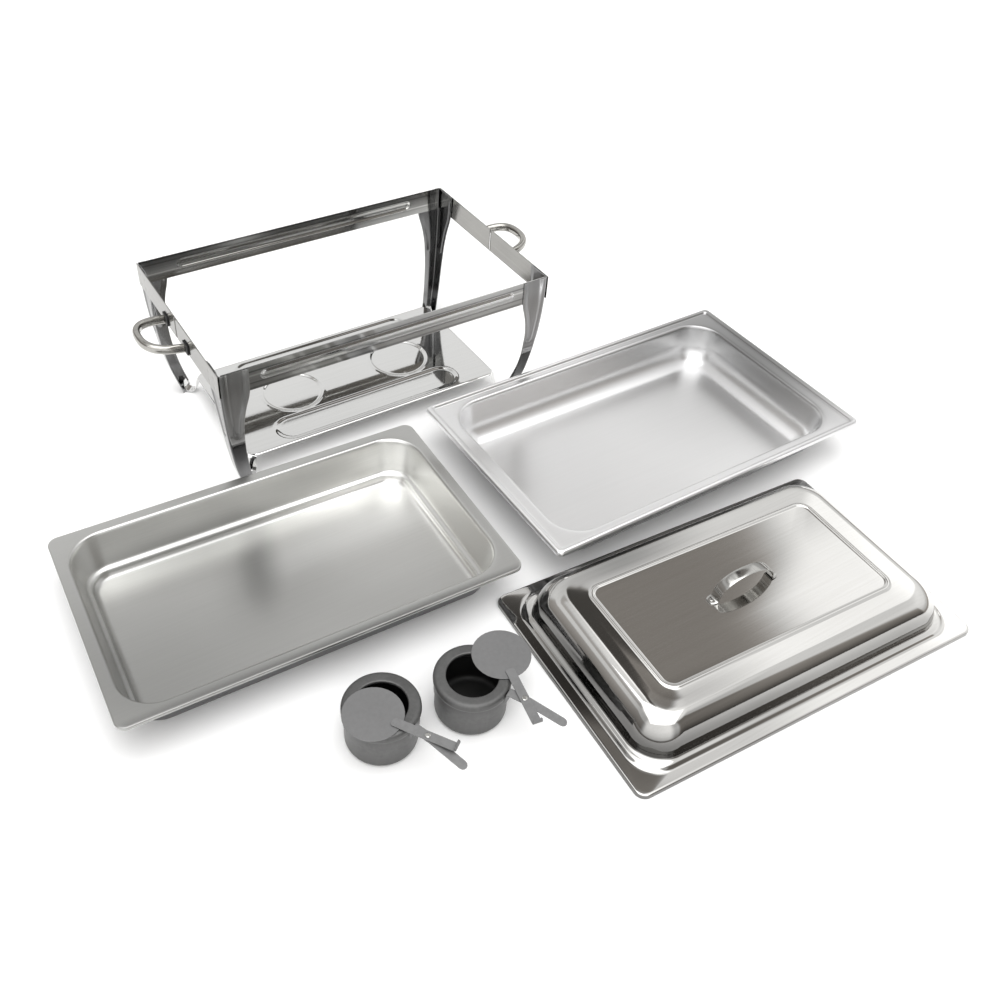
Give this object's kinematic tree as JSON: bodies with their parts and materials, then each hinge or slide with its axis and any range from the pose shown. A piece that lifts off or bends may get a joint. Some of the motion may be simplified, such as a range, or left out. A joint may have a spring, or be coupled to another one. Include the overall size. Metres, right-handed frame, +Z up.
{
  "type": "chafing dish food warmer",
  "caption": "Chafing dish set laid out in pieces: sheet-metal stand with carry handles and fuel shelf, water pan, food pan, domed lid and fuel holders with swing covers.",
  "frame": {"origin": "centre of the laid-out set's bounding box, on the surface that every piece stands on", "axes": "+Z up, +X along the stand's long side towards its right end, +Y from the pans towards the stand"},
  "size_m": [1.145, 1.0134, 0.229],
  "materials": {
    "rail_sheet": "bright polished sheet",
    "leg_sheet": "bright polished sheet",
    "shelf_sheet": "bright polished sheet",
    "handle_bar": "polished",
    "handle_clip": "dark, semi-matt",
    "food_pan_steel": "satin",
    "water_pan_steel": "satin",
    "lid_steel": "mirror polished stainless steel",
    "burner_steel": "dull grey",
    "cover_steel": "dull grey",
    "rivet_steel": "satin"
  },
  "bodies": {
    "stand": {"carry_handle_left": "handle_bar", "carry_handle_right": "handle_bar", "end_rail_left_front": "rail_sheet", "end_rail_left_rear": "rail_sheet", "end_rail_right_front": "rail_sheet", "end_rail_right_rear": "rail_sheet", "fuel_shelf": "shelf_sheet", "handle_clip_left_front": "handle_clip", "handle_clip_left_rear": "handle_clip", "handle_clip_right_front": "handle_clip", "handle_clip_right_rear": "handle_clip", "leg_front_left": "leg_sheet", "leg_front_right": "leg_sheet", "leg_rear_left": "leg_sheet", "leg_rear_right": "leg_sheet", "rail_front": "rail_sheet", "rail_rear": "rail_sheet", "shelf_strap_front_left": "shelf_sheet", "shelf_strap_front_right": "shelf_sheet", "shelf_strap_rear_left": "shelf_sheet", "shelf_strap_rear_right": "shelf_sheet"},
    "water_pan_body": {"water_pan": "water_pan_steel"},
    "food_pan_body": {"food_pan": "food_pan_steel"},
    "lid_body": {"lid_shell": "lid_steel", "lid_handle": "lid_steel"},
    "fuel_cup_left_body": {"fuel_cup_left": "burner_steel"},
    "burner_collar_left_body": {"burner_collar_left": "burner_steel", "holder_strip_left": "cover_steel", "cover_rivet_left": "rivet_steel"},
    "cover_left_body": {"cover_disc_left": "cover_steel", "cover_lever_left": "cover_steel"},
    "fuel_cup_right_body": {"fuel_cup_right": "burner_steel"},
    "burner_collar_right_body": {"burner_collar_right": "burner_steel", "holder_strip_right": "cover_steel", "cover_rivet_right": "rivet_steel"},
    "cover_right_body": {"cover_disc_right": "cover_steel", "cover_lever_right": "cover_steel"}
  },
  "joints": [
    {"name": "water_pan_lift", "type": "slide", "parent": "stand", "child": "water_pan_body", "axis": [0, 0, 1], "range_m": [0, 0.2]},
    {"name": "food_pan_lift", "type": "slide", "parent": "stand", "child": "food_pan_body", "axis": [0, 0, 1], "range_m": [0, 0.2]},
    {"name": "lid_lift", "type": "slide", "parent": "stand", "child": "lid_body", "axis": [0, -0.3, 0.9539], "range_m": [0, 0.2]},
    {"name": "fuel_cup_left_lift", "type": "slide", "parent": "stand", "child": "fuel_cup_left_body", "axis": [0, 0, 1], "range_m": [0, 0.15]},
    {"name": "burner_collar_left_lift", "type": "slide", "parent": "fuel_cup_left_body", "child": "burner_collar_left_body", "axis": [0, 0, 1], "range_m": [0, 0.06]},
    {"name": "fuel_cup_right_lift", "type": "slide", "parent": "stand", "child": "fuel_cup_right_body", "axis": [0, 0, 1], "range_m": [0, 0.15]},
    {"name": "burner_collar_right_lift", "type": "slide", "parent": "fuel_cup_right_body", "child": "burner_collar_right_body", "axis": [0, 0, 1], "range_m": [0, 0.06]},
    {"name": "cover_left_swing", "type": "hinge", "parent": "burner_collar_left_body", "child": "cover_left_body", "pos_m": [-0.27958, -0.32152, 0.062], "axis": [0, 0, 1], "range_deg": [-13.9, 96.1]},
    {"name": "cover_right_swing", "type": "hinge", "parent": "burner_collar_right_body", "child": "cover_right_body", "pos_m": [-0.15873, -0.33446, 0.062], "axis": [0, 0, 1], "range_deg": [-70.7, 39.3]}
  ]
}
